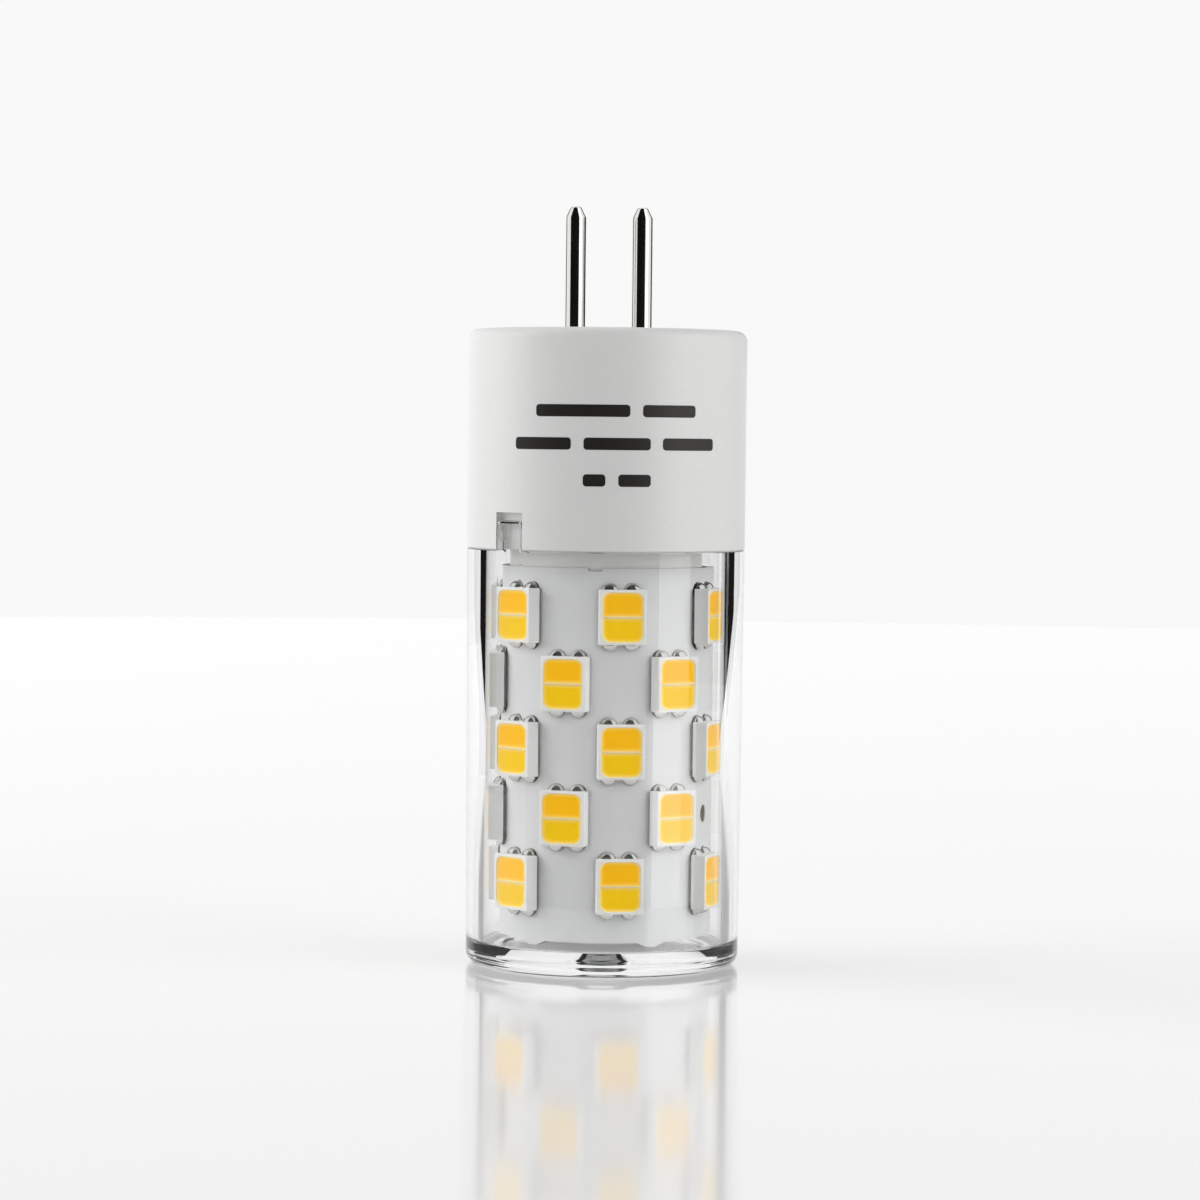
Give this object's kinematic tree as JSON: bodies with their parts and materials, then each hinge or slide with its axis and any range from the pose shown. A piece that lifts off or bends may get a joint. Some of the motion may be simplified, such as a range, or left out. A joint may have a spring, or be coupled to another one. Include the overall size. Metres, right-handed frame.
{
  "type": "bi-pin led bulb",
  "caption": "Small capsule lamp with a white moulded base, two contact pins and a clear cover over a rolled board of staggered square light emitters.",
  "frame": {"origin": "middle of the cover's flat closed end, where the bulb stands", "axes": "+Z along the bulb's axis towards the contact pins, X through both pins, front at -Y"},
  "size_m": [0.0164, 0.0164, 0.0448],
  "materials": {
    "base_white": "fine satin moulding",
    "clear_plastic": "clear polished moulding",
    "pin_metal": "bright plating",
    "board_white": "solder mask",
    "core_plastic": "satin moulding",
    "led_frame": "satin",
    "phosphor_warm": "soft resin",
    "phosphor_cool": "soft resin",
    "solder": "bright, reflowed",
    "laminate": "solder mask",
    "chip_black": "moulded",
    "capacitor_can": "sleeved can",
    "ferrite": "sintered",
    "resistor_body": "glazed",
    "wire_red": "insulation",
    "wire_black": "insulation"
  },
  "bodies": {
    "root": {"base_housing": "base_white", "clear_cover": "clear_plastic", "contact_pin_left": "pin_metal", "contact_pin_right": "pin_metal", "led_board": "board_white", "core_tube": "core_plastic", "warm_phosphor": "phosphor_warm", "cool_phosphor": "phosphor_cool", "driver_board": "laminate", "pin_solder": "solder", "bridge_rectifier": "chip_black", "freewheel_diode": "chip_black", "driver_chip": "chip_black", "filter_capacitor": "capacitor_can", "power_inductor": "ferrite", "sense_resistor": "resistor_body", "lead_wire_positive": "wire_red", "lead_wire_negative": "wire_black", "led_package_r1_c1": "led_frame", "led_package_r1_c2": "led_frame", "led_package_r1_c3": "led_frame", "led_package_r1_c4": "led_frame", "led_package_r1_c5": "led_frame", "led_package_r1_c6": "led_frame", "led_package_r2_c1": "led_frame", "led_package_r2_c2": "led_frame", "led_package_r2_c3": "led_frame", "led_package_r2_c4": "led_frame", "led_package_r2_c5": "led_frame", "led_package_r2_c6": "led_frame", "led_package_r3_c1": "led_frame", "led_package_r3_c2": "led_frame", "led_package_r3_c3": "led_frame", "led_package_r3_c4": "led_frame", "led_package_r3_c5": "led_frame", "led_package_r3_c6": "led_frame", "led_package_r4_c1": "led_frame", "led_package_r4_c2": "led_frame", "led_package_r4_c3": "led_frame", "led_package_r4_c4": "led_frame", "led_package_r4_c5": "led_frame", "led_package_r4_c6": "led_frame", "led_package_r5_c1": "led_frame", "led_package_r5_c2": "led_frame", "led_package_r5_c3": "led_frame", "led_package_r5_c4": "led_frame", "led_package_r5_c5": "led_frame", "led_package_r5_c6": "led_frame", "solder_row_1": "solder", "solder_row_2": "solder", "solder_row_3": "solder", "solder_row_4": "solder", "solder_row_5": "solder"}
  },
  "joints": []
}
